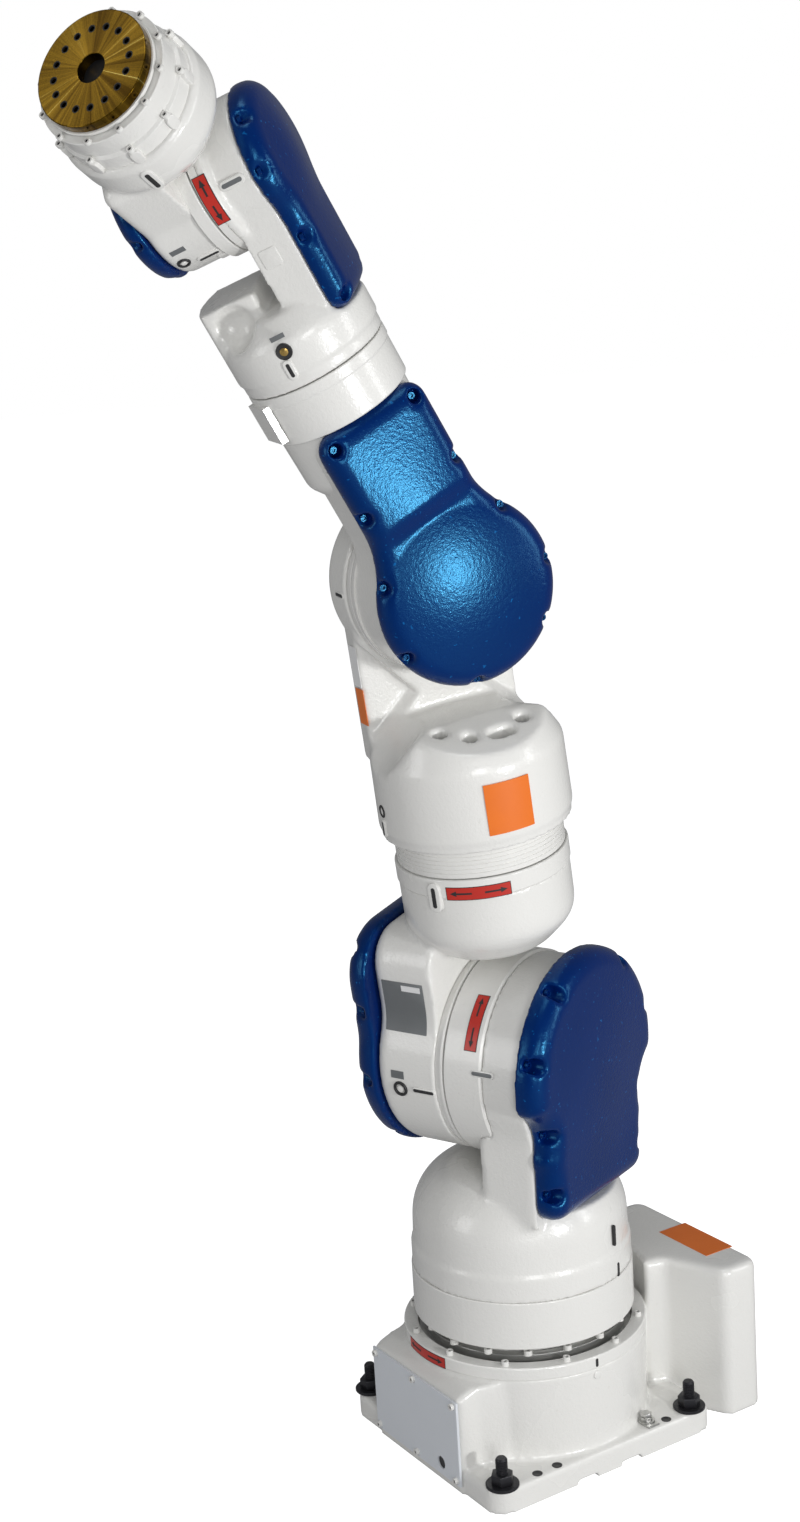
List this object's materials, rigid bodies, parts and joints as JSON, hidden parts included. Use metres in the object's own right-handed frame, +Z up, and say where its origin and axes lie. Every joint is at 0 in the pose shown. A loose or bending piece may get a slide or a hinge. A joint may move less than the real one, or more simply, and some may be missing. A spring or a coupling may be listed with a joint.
{
  "type": "industrial robot arm",
  "caption": "Floor-mounted serial robot arm with seven turning joints, offset link housings with rounded side covers and a round tool flange.",
  "frame": {"origin": "on the swivel axis, at the underside of the foot", "axes": "+Z up along the swivel axis, +X towards the front panel of the foot, -X towards the tall connector box"},
  "size_m": [0.682, 0.2994, 1.3835],
  "materials": {
    "cream_enamel": "semi-gloss textured enamel",
    "blue_enamel": "glossy coarse-textured metallic enamel",
    "machined_ring": "fine turned",
    "gold_flange": "mirror polished",
    "panel_enamel": "smooth grey enamel",
    "black_plastic": "matt moulded",
    "plate_metal": "matt anodised",
    "zinc_steel": "zinc plated"
  },
  "bodies": {
    "base": {"base_casting": "cream_enamel", "bearing_ring": "cream_enamel", "bearing_inner_ring": "machined_ring", "bearing_seat": "machined_ring", "front_panel": "panel_enamel", "connector_panel": "panel_enamel", "power_socket": "black_plastic", "signal_socket": "black_plastic", "ground_terminal": "zinc_steel"},
    "swivel": {"swivel_lower_ring": "cream_enamel", "swivel_housing": "cream_enamel", "shoulder_post": "cream_enamel", "shoulder_flange": "cream_enamel", "shoulder_cover": "blue_enamel"},
    "lower_arm": {"lower_arm_seam_ring": "cream_enamel", "lower_arm_casting": "cream_enamel", "lower_arm_rim": "cream_enamel", "lower_arm_cover": "blue_enamel", "lower_arm_name_plate": "plate_metal"},
    "elbow": {"elbow_groove_ring": "cream_enamel", "elbow_collar": "cream_enamel", "elbow_casting": "cream_enamel", "elbow_flange": "cream_enamel", "elbow_cover": "blue_enamel"},
    "forearm": {"forearm_seam_ring": "cream_enamel", "forearm_casting": "cream_enamel", "forearm_collar": "cream_enamel", "forearm_side_plate": "cream_enamel", "forearm_cover": "blue_enamel"},
    "wrist_roll": {"wrist_roll_collar": "cream_enamel", "wrist_roll_casting": "cream_enamel", "wrist_roll_flange": "cream_enamel", "wrist_roll_cover": "blue_enamel"},
    "wrist_bend": {"wrist_seam_ring": "cream_enamel", "wrist_bend_casting": "cream_enamel", "tool_housing": "cream_enamel", "tool_bearing_ring": "cream_enamel", "wrist_bend_cover": "blue_enamel"},
    "tool": {"tool_collar": "cream_enamel", "tool_flange": "gold_flange"}
  },
  "joints": [
    {"name": "swivel_turn", "type": "hinge", "parent": "base", "child": "swivel", "pos_m": [0, 0, 0], "axis": [0, 0, 1], "range_deg": [-202.4, 157.6]},
    {"name": "shoulder_pivot", "type": "hinge", "parent": "swivel", "child": "lower_arm", "pos_m": [0, 0, 0.41], "axis": [-0.3811, 0.9245, 0], "range_deg": [-119.1, 100.9]},
    {"name": "arm_roll", "type": "hinge", "parent": "lower_arm", "child": "elbow", "pos_m": [0, 0, 0.41], "axis": [0.1462, 0.0603, 0.9874], "range_deg": [-138.1, 201.9]},
    {"name": "elbow_pivot", "type": "hinge", "parent": "elbow", "child": "forearm", "pos_m": [0.07165, 0.02953, 0.89383], "axis": [0.1589, 0.9838, -0.0836], "range_deg": [-151.5, 108.5]},
    {"name": "forearm_roll", "type": "hinge", "parent": "forearm", "child": "wrist_roll", "pos_m": [0.07165, 0.02953, 0.89383], "axis": [0.4939, -0.0059, 0.8695], "range_deg": [-233.9, 126.1]},
    {"name": "wrist_pivot", "type": "hinge", "parent": "wrist_roll", "child": "wrist_bend", "pos_m": [0.27909, 0.02705, 1.25902], "axis": [-0.5971, 0.7246, 0.3441], "range_deg": [-149.9, 70.1]},
    {"name": "tool_roll", "type": "hinge", "parent": "wrist_bend", "child": "tool", "pos_m": [0.27909, 0.02705, 1.25902], "axis": [0.7844, 0.4375, 0.4397], "range_deg": [-180, 180]}
  ]
}
